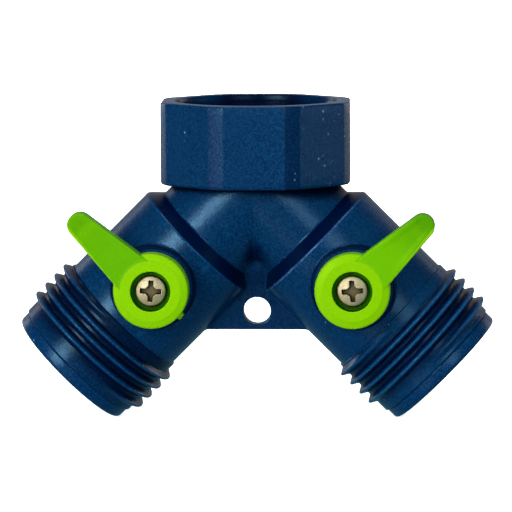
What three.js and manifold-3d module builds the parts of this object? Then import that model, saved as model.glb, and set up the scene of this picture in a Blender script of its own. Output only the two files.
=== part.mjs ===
// Two-way garden hose splitter with one shut-off lever on each outlet.
// Millimetres, +Z up. The origin is the middle of the flat lower edge of the
// web; the inlet axis is the Z axis, the levers face -Y and left is -X.
import * as THREE from 'three';
import { mergeVertices } from 'three/addons/utils/BufferGeometryUtils.js';
import Module from 'manifold-3d';

const wasm = await Module();
wasm.setup();
const { Manifold, Mesh: ManifoldMesh } = wasm;

// ---- shared dimensions --------------------------------------------------
// Heights at the inlet are above the crossing point. In an outlet leg,
// distances run outwards along the outlet axis from the crossing point.
const CROSSING_Z = 25.2; // height of the point where the three axes cross
const LEG_ANGLE = 135; // degrees from +Z to each outlet axis
const VALVE_AT = 23.75; // ball centre and lever axis, along the leg

const OVERCUT = 1; // how far a cutter runs past the face it opens
const SIMPLIFY = 0.003; // tolerance when finished pieces are simplified

// threadFrom: where the outlet thread starts along the leg
// leverTurn: degrees from the leg's +X to the blade, seen from the front
const SIDES = {
  left: { sign: -1, threadFrom: 32.85, leverTurn: 1.7 },
  right: { sign: 1, threadFrom: 32.99, leverTurn: 180 - 2.0 },
};

// garden hose thread, 11.5 per inch
const THREAD = { pitch: 25.4 / 11.5, crestWidth: 0.5, rootWidth: 1.45, stepsPerTurn: 18 };

// cavities of the moulding
const INLET_BORE = { radius: 6.0, end: -10 };
const SOCKET = { radius: 7.5, end: -4.2 }; // receives the tailpiece
const LEG_BORE = { radius: 5.2, start: 8.3 };
const CHAMBER = { radius: 9.6, start: 15.4 }; // holds the ball and its seats
const STEM_BORE_RADIUS = 3.5;
const BODY_END = 43.25;
const BOSS = { radius: 7.1, base: 6, face: 13.65, edge: 0.45 }; // heights before the leg axis

// Sealing rings and their grooves: grooveRadius is the groove's floor, from
// and to are its sides, ringRadius reaches the middle of the ring's cord.
const TAIL_SEAL = {
  grooveRadius: 6.68, from: -3.3, to: -2.1,
  ringRadius: 7.07, cordRadius: 0.36, segments: 24,
};
const STEM_SEAL = {
  grooveRadius: 2.4, from: 10.4, to: 11.8,
  ringRadius: 2.93, cordRadius: 0.5, segments: 20,
};
const RETAINER_SEAL = {
  grooveRadius: 7.9, from: 35.2, to: 37.0,
  ringRadius: 8.74, cordRadius: 0.75, segments: 24,
};

// ---- matrices -----------------------------------------------------------
const rad = THREE.MathUtils.degToRad;
const raised = (z) => new THREE.Matrix4().makeTranslation(0, 0, z);
const aboutX = (degrees) => new THREE.Matrix4().makeRotationX(rad(degrees));
const aboutY = (degrees) => new THREE.Matrix4().makeRotationY(rad(degrees));
const placed = (shape, matrix) => shape.transform([...matrix.elements]);

// In a leg's frame +Z runs outwards along the outlet and -Y is the lever side.
const legMatrix = (side) => aboutY(SIDES[side].sign * LEG_ANGLE);
// Turns +Z of a solid to the leg's -Y, with height 0 on the outlet axis.
const towardsLever = raised(VALVE_AT).multiply(aboutX(90));

// ---- solids -------------------------------------------------------------
// geometry -> manifold solid (faces turned outwards, collapsed faces dropped)
function solid(source, matrix) {
  let geometry = source.clone();
  for (const name of Object.keys(geometry.attributes))
    if (name !== 'position') geometry.deleteAttribute(name);
  if (matrix) geometry.applyMatrix4(matrix);
  geometry = mergeVertices(geometry, 1e-5);

  const { position } = geometry.attributes;
  const corners = [new THREE.Vector3(), new THREE.Vector3(), new THREE.Vector3()];
  const triangles = [];
  let volume = 0; // six times the enclosed volume, negative if inside out
  for (let i = 0; i < geometry.index.count; i += 3) {
    const face = [0, 1, 2].map((k) => geometry.index.getX(i + k));
    if (new Set(face).size < 3) continue;
    corners.forEach((corner, k) => corner.fromBufferAttribute(position, face[k]));
    volume += corners[0].dot(corners[1].cross(corners[2]));
    triangles.push(...face);
  }
  if (volume < 0)
    for (let i = 0; i < triangles.length; i += 3)
      [triangles[i + 1], triangles[i + 2]] = [triangles[i + 2], triangles[i + 1]];
  return new Manifold(
    new ManifoldMesh({
      numProp: 3,
      vertProperties: new Float32Array(position.array),
      triVerts: new Uint32Array(triangles),
    }),
  );
}

// manifold solid -> indexed geometry
function geometryOf(shape) {
  const { vertProperties, triVerts } = shape.getMesh();
  const geometry = new THREE.BufferGeometry();
  const positions = new Float32Array(vertProperties);
  geometry.setAttribute('position', new THREE.BufferAttribute(positions, 3));
  geometry.setIndex(new THREE.BufferAttribute(new Uint32Array(triVerts), 1));
  geometry.computeVertexNormals();
  return geometry;
}

// Turned solid about +Z: profile is [radius, height] pairs. It closes on the
// axis where it starts and ends with radius 0, and on itself otherwise.
function turned(profile, segments, matrix) {
  const points = profile.map(([radius, height]) => new THREE.Vector2(radius, height));
  if (profile[0][0] > 0) points.push(points[0].clone());
  const geometry = new THREE.LatheGeometry(points, segments);
  geometry.rotateX(Math.PI / 2);
  return solid(geometry, matrix);
}

const rod = (radius, bottom, top, segments, matrix) =>
  turned([[0, bottom], [radius, bottom], [radius, top], [0, top]], segments, matrix);

// box from three [low, high] ranges
function box(...ranges) {
  const geometry = new THREE.BoxGeometry(...ranges.map(([low, high]) => high - low));
  geometry.translate(...ranges.map(([low, high]) => (low + high) / 2));
  return solid(geometry);
}
const centred = (width) => [-width / 2, width / 2];

// flat outline in XY -> plate rising from height 0
const plate = (outline, depth, matrix) =>
  solid(new THREE.ExtrudeGeometry(outline, { depth, bevelEnabled: false }), matrix);

const outlineOf = (points) =>
  new THREE.Shape(points.map(([x, y]) => new THREE.Vector2(x, y)));

// profile points of a seal's groove in a wall of the given radius
const groove = (wallRadius, { grooveRadius, from, to }) => [
  [wallRadius, from],
  [grooveRadius, from],
  [grooveRadius, to],
  [wallRadius, to],
];

// profile points of an upper rim eased by two facets
const easedRim = (radius, top, edge) => [
  [radius, top - edge],
  [radius - edge * 0.3, top - edge * 0.3],
  [radius - edge, top],
];

function sealRing({ ringRadius, cordRadius, segments }) {
  const cordSides = 6;
  const profile = [];
  for (let i = 0; i < cordSides; i++) {
    const angle = ((i + 0.5) / cordSides) * 2 * Math.PI;
    profile.push([
      ringRadius + cordRadius * Math.cos(angle),
      cordRadius * Math.sin(angle),
    ]);
  }
  return turned(profile, segments);
}

// Right-handed thread ridge about +Z, fading into the wall at both ends. It
// is a long box wound into a helix: its X becomes radius, its Z the turns.
function threadRidge({ from, turns, phase, rootRadius, crestRadius }) {
  const fadeTurns = 1 / 6;
  const embed = 0.45; // how deep the ridge is sunk into the wall
  const endHeight = 0.06; // share of the height left at the very ends
  const endWidth = 0.6; // share of the crest width left there
  const rise = crestRadius - rootRadius;
  const steps = Math.round(turns * THREAD.stepsPerTurn);
  const geometry = new THREE.BoxGeometry(1, 1, 1, 1, 1, steps);
  const { position } = geometry.attributes;
  for (let i = 0; i < position.count; i++) {
    const turn = (position.getZ(i) + 0.5) * turns;
    const fade = Math.max(0, Math.min(1, Math.min(turn, turns - turn) / fadeTurns));
    const isCrest = position.getX(i) > 0;
    const radius = isCrest
      ? rootRadius + rise * (endHeight + (1 - endHeight) * fade)
      : rootRadius - Math.sign(rise) * embed;
    const width = isCrest
      ? THREAD.crestWidth * (endWidth + (1 - endWidth) * fade)
      : THREAD.rootWidth;
    const z = from + turn * THREAD.pitch + (Math.sign(position.getY(i)) * width) / 2;
    const angle = rad(phase) + turn * 2 * Math.PI;
    position.setXYZ(i, radius * Math.cos(angle), radius * Math.sin(angle), z);
  }
  return solid(geometry);
}

// ---- materials ----------------------------------------------------------
const material = (color, { roughness, metalness = 0 }) =>
  new THREE.MeshStandardMaterial({ color, roughness, metalness });
const BLUE = material(0x0b2f5c, { roughness: 0.42 });
const GREEN = material(0x7fd400, { roughness: 0.4 });
const STEEL = material(0xb9b0a0, { roughness: 0.3, metalness: 1 });
const BLACK = material(0x17181a, { roughness: 0.7 });
const WHITE = material(0xe9e7df, { roughness: 0.45 });
const ACETAL = material(0xd8d6cc, { roughness: 0.4 });
const RUBBER = material(0x3a3b3d, { roughness: 0.8 });

// ---- the blue moulding --------------------------------------------------
const SHELF_Z = -0.5; // top of the moulding, under the nut
const NECK = { radius: 9.65, start: -16, end: 12.3 };
const BARREL = { radius: 11.75, start: 14.4 };
const SHANK = { radius: 12.05, start: 32.1, overlap: 0.5 }; // carries the thread
const OUTLET_THREAD = {
  turns: 4,
  phase: 270, // degrees, both threads run out at the front
  rootRadius: SHANK.radius,
  crestRadius: 13.2,
};
const TRIM_REACH = 60; // size of the box that trims a leg, beyond all of it

// Ledge in the rim of the boss, in which the lever's nib travels 90 degrees.
const LEDGE = { innerRadius: 5.7, depth: 1.3 };
const LEDGE_MARGIN = { shut: 35, open: 10 }; // degrees past each end of the travel
const SECTOR = { radius: 12, halfDepth: 3, steps: 10 }; // cutter that limits the ledge

const WEB_THICKNESS = 3.0;
// left half of the web, up from the lower edge: [distance from Z, height]
const WEB_HALF_OUTLINE = [[8.58, 0], [14, 5.4], [14, 8.5], [2, 16]];
const HANG_HOLE = { radius: 2.35, z: -21.95 };

function legShell(side) {
  const { sign, threadFrom } = SIDES[side];
  const shank = rod(SHANK.radius, SHANK.start, BODY_END, 36);
  const barrelEnd = SHANK.start + SHANK.overlap;
  const barrel = turned(
    [
      [0, NECK.start],
      [NECK.radius, NECK.start],
      [NECK.radius, NECK.end],
      [BARREL.radius, BARREL.start],
      [BARREL.radius, barrelEnd],
      [0, barrelEnd],
    ],
    36,
  );
  const thread = threadRidge({ from: threadFrom, ...OUTLET_THREAD });
  // mitred at the middle plane, flat under the nut
  const keep = box(
    sign < 0 ? [-TRIM_REACH, 0] : [0, TRIM_REACH],
    centred(TRIM_REACH),
    [-TRIM_REACH, SHELF_Z],
  );
  return placed(shank.add(barrel).add(thread), legMatrix(side)).intersect(keep);
}

function stemBoss(side) {
  const boss = turned(
    [
      [0, BOSS.base],
      [BOSS.radius, BOSS.base],
      [BOSS.radius, BOSS.face - BOSS.edge],
      [BOSS.radius - BOSS.edge, BOSS.face],
      [0, BOSS.face],
    ],
    32,
    towardsLever,
  );
  return placed(boss, legMatrix(side));
}

// Before it is turned to the front, the shut nib lies near -X (left) or
// +X (right), and the open nib near +Y.
function nibLedge(side) {
  const bottom = BOSS.face - LEDGE.depth;
  const top = BOSS.face + OVERCUT;
  const ledge = turned(
    [
      [LEDGE.innerRadius, bottom],
      [BOSS.radius + OVERCUT, bottom],
      [BOSS.radius + OVERCUT, top],
      [LEDGE.innerRadius, top],
    ],
    32,
  );
  const span = 90 + LEDGE_MARGIN.shut + LEDGE_MARGIN.open;
  const start = SIDES[side].sign < 0 ? 90 - LEDGE_MARGIN.open : -LEDGE_MARGIN.shut;
  const points = [[0, 0]];
  for (let i = 0; i <= SECTOR.steps; i++) {
    const angle = rad(start + (span * i) / SECTOR.steps);
    points.push([SECTOR.radius * Math.cos(angle), SECTOR.radius * Math.sin(angle)]);
  }
  const sector = plate(
    outlineOf(points),
    2 * SECTOR.halfDepth,
    raised(BOSS.face - SECTOR.halfDepth),
  );
  return placed(ledge.intersect(sector), towardsLever);
}

function legCavity(side) {
  const bore = turned(
    [
      [0, LEG_BORE.start],
      [LEG_BORE.radius, LEG_BORE.start],
      [LEG_BORE.radius, CHAMBER.start],
      [CHAMBER.radius, CHAMBER.start],
      [CHAMBER.radius, BODY_END + OVERCUT],
      [0, BODY_END + OVERCUT],
    ],
    32,
  );
  const stemBore = rod(STEM_BORE_RADIUS, 0, BOSS.face + OVERCUT, 24, towardsLever);
  return placed(bore.add(stemBore).add(nibLedge(side)), legMatrix(side));
}

// upright plate between the legs, with the hanging hole
function web() {
  const rightHalf = WEB_HALF_OUTLINE;
  const leftHalf = rightHalf.map(([x, y]) => [-x, y]).reverse();
  const outline = outlineOf([...rightHalf, ...leftHalf]);
  const upright = raised(-CROSSING_Z).multiply(aboutX(90));
  const sheet = plate(outline, WEB_THICKNESS, upright.multiply(raised(-WEB_THICKNESS / 2)));
  const reach = WEB_THICKNESS / 2 + OVERCUT;
  const acrossWeb = raised(HANG_HOLE.z).multiply(aboutX(90));
  return sheet.subtract(rod(HANG_HOLE.radius, -reach, reach, 28, acrossWeb));
}

function manifoldBody() {
  return legShell('left')
    .add(legShell('right'))
    .add(stemBoss('left'))
    .add(stemBoss('right'))
    .add(web())
    .subtract(rod(INLET_BORE.radius, INLET_BORE.end, SHELF_Z + OVERCUT, 32))
    .subtract(rod(SOCKET.radius, SOCKET.end, SHELF_Z + OVERCUT, 32))
    .subtract(legCavity('left'))
    .subtract(legCavity('right'))
    .simplify(SIMPLIFY);
}

// ---- swivel nut ---------------------------------------------------------
const NUT = {
  flats: 32.0, // across flats of the octagon
  cornerRadius: 16.8, // the corners are turned down to this
  bottom: -0.1,
  top: 13.75,
  bottomEdge: 0.6,
  topEdge: 0.5,
  lipRadius: 7.75,
  lipTop: 2.2,
  boreRadius: 13.6,
  mouthRadius: 14.0,
  mouthDepth: 0.7,
  turn: 1.5, // degrees, how the nut happens to sit at rest
};
const NUT_THREAD = {
  from: 7.9,
  turns: 2.1,
  phase: 0,
  rootRadius: NUT.boreRadius,
  crestRadius: 12.55,
};

function swivelNut() {
  const corner = NUT.flats / 2 / Math.cos(Math.PI / 8);
  const points = [];
  for (let i = 0; i < 8; i++) {
    const angle = Math.PI / 8 + (i * Math.PI) / 4;
    points.push([corner * Math.cos(angle), corner * Math.sin(angle)]);
  }
  const prism = plate(outlineOf(points), NUT.top - NUT.bottom, raised(NUT.bottom));
  const blank = turned(
    [
      [0, NUT.bottom],
      [NUT.cornerRadius - NUT.bottomEdge, NUT.bottom],
      [NUT.cornerRadius, NUT.bottom + NUT.bottomEdge],
      [NUT.cornerRadius, NUT.top - NUT.topEdge],
      [NUT.cornerRadius - NUT.topEdge, NUT.top],
      [0, NUT.top],
    ],
    48,
  );
  const bore = turned(
    [
      [0, NUT.bottom - OVERCUT],
      [NUT.lipRadius, NUT.bottom - OVERCUT],
      [NUT.lipRadius, NUT.lipTop],
      [NUT.boreRadius, NUT.lipTop],
      [NUT.boreRadius, NUT.top - NUT.mouthDepth],
      [NUT.mouthRadius, NUT.top],
      [NUT.mouthRadius, NUT.top + OVERCUT],
      [0, NUT.top + OVERCUT],
    ],
    36,
  );
  return prism
    .intersect(blank)
    .subtract(bore)
    .add(threadRidge(NUT_THREAD))
    .simplify(SIMPLIFY);
}

// ---- inlet tailpiece and washer -----------------------------------------
const FLANGE = { radius: 11.4, bottom: 2.5, top: 4.3 };
const SLEEVE = { radius: SOCKET.radius - 0.1, end: SOCKET.end + 0.2 };
const TAIL_EDGE = 0.3; // chamfers outside
const TAIL_MOUTH = 0.6; // chamfer at the top of the bore
const WASHER = { inner: 7.9, outer: 12.2, bottom: FLANGE.top + 0.05, thickness: 2.5 };

const tailpiece = () =>
  turned(
    [
      [INLET_BORE.radius, SLEEVE.end],
      [SLEEVE.radius - TAIL_EDGE, SLEEVE.end],
      [SLEEVE.radius, SLEEVE.end + TAIL_EDGE],
      ...groove(SLEEVE.radius, TAIL_SEAL),
      [SLEEVE.radius, FLANGE.bottom],
      [FLANGE.radius, FLANGE.bottom],
      [FLANGE.radius, FLANGE.top - TAIL_EDGE],
      [FLANGE.radius - TAIL_EDGE, FLANGE.top],
      [INLET_BORE.radius + TAIL_MOUTH, FLANGE.top],
      [INLET_BORE.radius, FLANGE.top - TAIL_MOUTH],
    ],
    30,
  );

function washer() {
  const { inner, outer, bottom, thickness } = WASHER;
  const top = bottom + thickness;
  return turned([[inner, bottom], [outer, bottom], [outer, top], [inner, top]], 30);
}

// ---- outlet retainer ----------------------------------------------------
const RETAINER = {
  radius: CHAMBER.radius - 0.3,
  boreRadius: 6.6,
  start: 32.25,
  mouth: 0.5, // chamfer at the outer end of the bore
};
const COLLAR = { radius: 11.6, start: BODY_END + 0.1, end: 45.4, edge: 0.7 };

const retainer = () =>
  turned(
    [
      [RETAINER.boreRadius, RETAINER.start],
      [RETAINER.radius, RETAINER.start],
      ...groove(RETAINER.radius, RETAINER_SEAL),
      [RETAINER.radius, COLLAR.start],
      [COLLAR.radius, COLLAR.start],
      ...easedRim(COLLAR.radius, COLLAR.end, COLLAR.edge),
      [RETAINER.boreRadius + RETAINER.mouth, COLLAR.end],
      [RETAINER.boreRadius, COLLAR.end - RETAINER.mouth],
    ],
    30,
  );

// ---- ball and seats -----------------------------------------------------
const BALL = { radius: 7.6, boreRadius: 4.6 };
const BALL_SLOT = { width: 2.0, length: 7.0, floor: 5.9 };
const SEAT = {
  hollowRadius: BALL.radius + 0.3, // spherical face around the ball
  inner: 5.0,
  outer: 9.3,
  near: 4.35, // faces, from the ball centre
  far: 8.3,
  arcSteps: 3,
};

function ball() {
  const sphere = solid(new THREE.SphereGeometry(BALL.radius, 24, 14));
  const reach = BALL.radius + OVERCUT;
  const bore = rod(BALL.boreRadius, -reach, reach, 24, aboutY(90));
  // the slot for the stem's tang crosses the bore direction
  const slot = box(
    centred(BALL_SLOT.width),
    centred(BALL_SLOT.length),
    [BALL_SLOT.floor, reach],
  );
  return sphere.subtract(bore).subtract(slot).simplify(SIMPLIFY);
}

// sign is -1 for the inlet side of the ball, 1 for the outlet side
function seat(sign) {
  const { hollowRadius, inner, outer, near, far, arcSteps } = SEAT;
  const arcEnd = Math.sqrt(hollowRadius ** 2 - near ** 2);
  const arc = [];
  for (let i = 0; i <= arcSteps; i++) {
    const radius = inner + ((arcEnd - inner) * i) / arcSteps;
    arc.push([radius, sign * Math.sqrt(hollowRadius ** 2 - radius * radius)]);
  }
  return turned(
    [[inner, sign * far], ...arc, [outer, sign * near], [outer, sign * far]],
    24,
  );
}

// ---- stem: heights are distances in front of the outlet axis ------------
const STEM = {
  radius: STEM_BORE_RADIUS - 0.3,
  shoulder: 13.9,
  top: 15.1,
  square: 4.0,
  squareOverlap: 0.5,
};
const STEM_FLANGE = { radius: 3.9, bottom: 7.7, top: 8.4 };
const TANG = {
  width: BALL_SLOT.width - 0.3,
  length: BALL_SLOT.length - 1,
  tip: BALL_SLOT.floor + 0.3,
  overlap: 0.3,
};
const PILOT = { radius: 1.35, end: 9.2 }; // hole for the screw

function stem() {
  const body = turned(
    [
      [0, STEM_FLANGE.bottom],
      [STEM_FLANGE.radius, STEM_FLANGE.bottom],
      [STEM_FLANGE.radius, STEM_FLANGE.top],
      [STEM.radius, STEM_FLANGE.top],
      ...groove(STEM.radius, STEM_SEAL),
      [STEM.radius, STEM.shoulder],
      [0, STEM.shoulder],
    ],
    24,
  );
  const square = box(
    centred(STEM.square),
    centred(STEM.square),
    [STEM.shoulder - STEM.squareOverlap, STEM.top],
  );
  const tang = box(
    centred(TANG.width),
    centred(TANG.length),
    [TANG.tip, STEM_FLANGE.bottom + TANG.overlap],
  );
  const pilot = rod(PILOT.radius, PILOT.end, STEM.top + OVERCUT, 16);
  return body.add(square).add(tang).subtract(pilot).simplify(SIMPLIFY);
}

// ---- lever and its screw: heights as for the stem -----------------------
const HUB = { radius: 6.3, bottom: BOSS.face + 0.3, top: 18.0, edge: 0.6 };
const RECESS = { radius: 3.35, floor: 16.0 }; // takes the screw head
// square socket under the hub; the floor of the recess is the web above it
const LEVER_SOCKET = { square: STEM.square + 0.2, top: 15.25 };
const SCREW_HOLE_RADIUS = 1.5;
const BLADE = {
  bottom: 14.5,
  top: 17.75,
  width: 7.2,
  rootX: 2.0,
  taperX: 4, // where the sides start to taper
  tipX: 16.2, // centre of the round tip
  tipRadius: 2.05,
  tipSteps: 10,
  bevel: 0.5,
};
// the nib hangs below the hub's skirt, opposite the blade
const NIB = { reach: 6.9, width: 1.3, drop: 0.75, insideRim: 0.3, overlap: 1.2 };
const SCREW = { radius: 1.2, end: 9.5, pointLength: 0.8, headRadius: 2.6, headHeight: 1.5 };
const CROSS_SLOT = { length: 3.5, width: 0.8, floor: RECESS.floor + 0.55 };

// the blade points along +X
function blade() {
  const { bottom, top, rootX, taperX, tipX, tipRadius, tipSteps, bevel } = BLADE;
  const halfWidth = BLADE.width / 2;
  const tilt = Math.asin((halfWidth - tipRadius) / (tipX - taperX));
  const points = [[rootX, -halfWidth], [taperX, -halfWidth]];
  for (let i = 0; i <= tipSteps; i++) {
    const angle = -Math.PI / 2 + tilt + ((Math.PI - 2 * tilt) * i) / tipSteps;
    points.push([tipX + tipRadius * Math.cos(angle), tipRadius * Math.sin(angle)]);
  }
  points.push([taperX, halfWidth], [rootX, halfWidth]);
  const geometry = new THREE.ExtrudeGeometry(outlineOf(points), {
    depth: top - bottom - 2 * bevel,
    bevelEnabled: true,
    bevelThickness: bevel,
    bevelSize: bevel,
    bevelOffset: -bevel,
    bevelSegments: 2,
  });
  return solid(geometry, raised(bottom + bevel));
}

function lever() {
  const hub = turned(
    [
      [0, HUB.bottom],
      [HUB.radius, HUB.bottom],
      ...easedRim(HUB.radius, HUB.top, HUB.edge),
      [0, HUB.top],
    ],
    36,
  );
  const nib = box(
    [-NIB.reach, -HUB.radius + NIB.insideRim],
    centred(NIB.width),
    [HUB.bottom - NIB.drop, HUB.bottom + NIB.overlap],
  );
  const socket = box(
    centred(LEVER_SOCKET.square),
    centred(LEVER_SOCKET.square),
    [HUB.bottom - OVERCUT, LEVER_SOCKET.top],
  );
  const screwHole = rod(
    SCREW_HOLE_RADIUS,
    LEVER_SOCKET.top - OVERCUT,
    RECESS.floor + OVERCUT,
    16,
  );
  return hub
    .add(blade())
    .add(nib)
    .subtract(rod(RECESS.radius, RECESS.floor, HUB.top + OVERCUT, 24))
    .subtract(socket)
    .subtract(screwHole)
    .simplify(SIMPLIFY);
}

function screw() {
  const { radius, end, pointLength, headRadius, headHeight } = SCREW;
  const headBase = RECESS.floor;
  const body = turned(
    [
      [0, end],
      [radius * 0.5, end],
      [radius, end + pointLength],
      [radius, headBase],
      [headRadius, headBase],
      [headRadius, headBase + headHeight * 0.45],
      [headRadius * 0.9, headBase + headHeight * 0.75],
      [headRadius * 0.6, headBase + headHeight * 0.95],
      [0, headBase + headHeight],
    ],
    20,
  );
  const long = centred(CROSS_SLOT.length);
  const narrow = centred(CROSS_SLOT.width);
  const height = [CROSS_SLOT.floor, headBase + headHeight + OVERCUT];
  const cross = box(long, narrow, height).add(box(narrow, long, height));
  return body.subtract(cross).simplify(SIMPLIFY);
}

// ---- assembly -----------------------------------------------------------
function mesh(name, shape, meshMaterial, z = 0) {
  const part = new THREE.Mesh(geometryOf(shape), meshMaterial);
  part.name = name;
  part.position.z = z;
  return part;
}
// a sealing ring midway between the sides of its groove
const sealMesh = (name, seal) =>
  mesh(name, sealRing(seal), BLACK, (seal.from + seal.to) / 2);

function inletGroup() {
  const nut = mesh('swivel_nut', swivelNut(), BLUE);
  nut.rotation.z = rad(NUT.turn);
  return new THREE.Group().add(
    nut,
    mesh('inlet_tailpiece', tailpiece(), WHITE),
    mesh('inlet_washer', washer(), RUBBER),
    sealMesh('tailpiece_oring', TAIL_SEAL),
  );
}

// Everything that turns with the lever, shown shut: +X of this group is the
// direction the blade points, +Z comes out of the front.
function valveGroup(side) {
  const valve = new THREE.Group();
  valve.position.z = VALVE_AT;
  valve.rotation.set(Math.PI / 2, 0, rad(SIDES[side].leverTurn));
  return valve.add(
    mesh(`${side}_lever`, lever(), GREEN),
    mesh(`${side}_lever_screw`, screw(), STEEL),
    mesh(`${side}_valve_stem`, stem(), ACETAL),
    sealMesh(`${side}_stem_oring`, STEM_SEAL),
    mesh(`${side}_valve_ball`, ball(), ACETAL),
  );
}

function legGroup(side) {
  const leg = new THREE.Group();
  leg.rotation.y = rad(SIDES[side].sign * LEG_ANGLE);
  return leg.add(
    mesh(`${side}_inlet_ball_seat`, seat(-1), WHITE, VALVE_AT),
    mesh(`${side}_outlet_ball_seat`, seat(1), WHITE, VALVE_AT),
    sealMesh(`${side}_retainer_oring`, RETAINER_SEAL),
    mesh(`${side}_outlet_retainer`, retainer(), BLUE),
    valveGroup(side),
  );
}

const splitter = new THREE.Group();
const crossing = new THREE.Group(); // origin on the point where the axes cross
crossing.position.z = CROSSING_Z;
splitter.add(crossing);
crossing.add(
  mesh('manifold_body', manifoldBody(), BLUE),
  inletGroup(),
  legGroup('left'),
  legGroup('right'),
);

export default splitter;
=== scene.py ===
import math
from itertools import product

import bpy
import numpy as np
from mathutils import Matrix, Vector


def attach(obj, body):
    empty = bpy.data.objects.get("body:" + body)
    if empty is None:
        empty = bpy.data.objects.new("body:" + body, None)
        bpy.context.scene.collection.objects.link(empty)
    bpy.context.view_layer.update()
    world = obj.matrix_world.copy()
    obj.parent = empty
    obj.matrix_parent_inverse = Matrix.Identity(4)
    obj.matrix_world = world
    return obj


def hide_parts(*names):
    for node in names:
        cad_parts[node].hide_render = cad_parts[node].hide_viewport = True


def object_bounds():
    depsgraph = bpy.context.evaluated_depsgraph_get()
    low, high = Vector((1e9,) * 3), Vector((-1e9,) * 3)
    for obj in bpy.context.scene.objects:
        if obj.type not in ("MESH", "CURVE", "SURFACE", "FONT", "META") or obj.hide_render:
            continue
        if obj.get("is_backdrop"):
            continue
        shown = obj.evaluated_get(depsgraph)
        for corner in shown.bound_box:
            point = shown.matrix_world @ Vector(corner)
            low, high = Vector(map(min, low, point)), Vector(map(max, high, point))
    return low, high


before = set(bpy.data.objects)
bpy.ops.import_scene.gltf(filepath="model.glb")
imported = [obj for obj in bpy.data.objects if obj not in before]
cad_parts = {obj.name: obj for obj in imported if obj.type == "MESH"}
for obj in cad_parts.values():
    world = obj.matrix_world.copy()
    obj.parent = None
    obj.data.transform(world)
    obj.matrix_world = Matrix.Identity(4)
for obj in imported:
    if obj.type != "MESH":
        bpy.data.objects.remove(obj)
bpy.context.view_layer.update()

# ------------------------------------------------------------------ sizes
# Millimetres, measured from the point where the three axes cross. That
# point is OZ above the row's origin.
OZ = 25.2
S2 = math.sqrt(2.0)
NECK_R, CONE_A, BARREL_A, BARREL_R = 9.65, 12.22, 14.3, 11.75
SHANK_A, SHANK_R, BODY_END = 32.1, 12.05, 43.25
CREST_R, PITCH = 13.2, 2.2087
VALVE_A, BOSS_R, BOSS_FACE = 23.75, 7.1, 13.65
SHELF_Z = -0.5
WEB_EDGE, WEB_HALF_T = -25.2, 1.5
HOLE_R, HOLE_Z = 2.35, -21.95


# ------------------------------------------------- distance-field meshing
def smin(a, b, k):
    h = np.maximum(k - np.abs(a - b), 0.0) / k
    return np.minimum(a, b) - h * h * k * 0.25


def smax(a, b, k):
    return -smin(-a, -b, k)


TETRA = np.array([(1, -1, -1), (-1, -1, 1), (-1, 1, -1), (1, 1, 1)], float)


def gradient(f, P, d=0.02):
    g = np.zeros_like(P)
    for e in TETRA:
        g += e * f(P + d * e)[:, None]
    return g / (4 * d)


def nets(f, lo, hi, h, block=4, passes=3, hold=0.02):
    """Closed quad mesh of f = 0, its points moved onto the surface."""
    lo = np.array(lo, float)
    n = np.ceil((np.array(hi, float) - lo) / (h * block)).astype(int)
    H = h * block
    axes = [lo[i] + H * np.arange(n[i] + 1) for i in range(3)]
    C = np.stack(np.meshgrid(*axes, indexing="ij"), -1).reshape(-1, 3)
    Fc = f(C).reshape(n + 1)
    near = np.abs(Fc) < 1.9 * H
    cell = np.zeros(n, bool)
    for d in product((0, 1), repeat=3):
        cell |= near[d[0] : n[0] + d[0], d[1] : n[1] + d[1], d[2] : n[2] + d[2]]
    cell = cell.repeat(block, 0).repeat(block, 1).repeat(block, 2)
    N = n * block
    node = np.zeros(N + 1, bool)
    for d in product((0, 1), repeat=3):
        node[d[0] : N[0] + d[0], d[1] : N[1] + d[1], d[2] : N[2] + d[2]] |= cell
    near_i = [np.minimum((np.arange(N[i] + 1) + block // 2) // block, n[i]) for i in range(3)]
    F = Fc[np.ix_(*near_i)].astype(np.float64)
    ijk = np.argwhere(node)
    vals = np.empty(len(ijk))
    for s in range(0, len(ijk), 400000):
        vals[s : s + 400000] = f(lo + ijk[s : s + 400000] * h)
    F[node] = vals
    F[F == 0] = 1e-9
    inside = F < 0
    stride = np.array([N[1] * N[2], N[2], 1])
    cells, pts = [], []
    for ax in range(3):
        a = [slice(None)] * 3
        b = [slice(None)] * 3
        a[ax], b[ax] = slice(0, -1), slice(1, None)
        E = np.argwhere(inside[tuple(a)] != inside[tuple(b)])
        u, v = (ax + 1) % 3, (ax + 2) % 3
        E = E[(E[:, u] > 0) & (E[:, u] < N[u]) & (E[:, v] > 0) & (E[:, v] < N[v])]
        E1 = E.copy()
        E1[:, ax] += 1
        f0, f1 = F[tuple(E.T)], F[tuple(E1.T)]
        P = E.astype(float)
        P[:, ax] += f0 / (f0 - f1)
        ring = []
        for du, dv in ((-1, -1), (0, -1), (0, 0), (-1, 0)):
            q = E.copy()
            q[:, u] += du
            q[:, v] += dv
            ring.append(q @ stride)
        ring = np.stack(ring, 1)
        out = f0 < 0
        ring[~out] = ring[~out][:, ::-1]
        cells.append(ring)
        pts.append(P)
    cells = np.concatenate(cells)
    pts = np.repeat(np.concatenate(pts), 4, axis=0)
    ids, inv = np.unique(cells.ravel(), return_inverse=True)
    count = np.bincount(inv)
    V = np.stack([np.bincount(inv, pts[:, i]) / count for i in range(3)], 1)
    V = lo + V * h
    Q = inv.reshape(-1, 4)
    return settle(f, V, Q, h, passes, hold)


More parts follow.
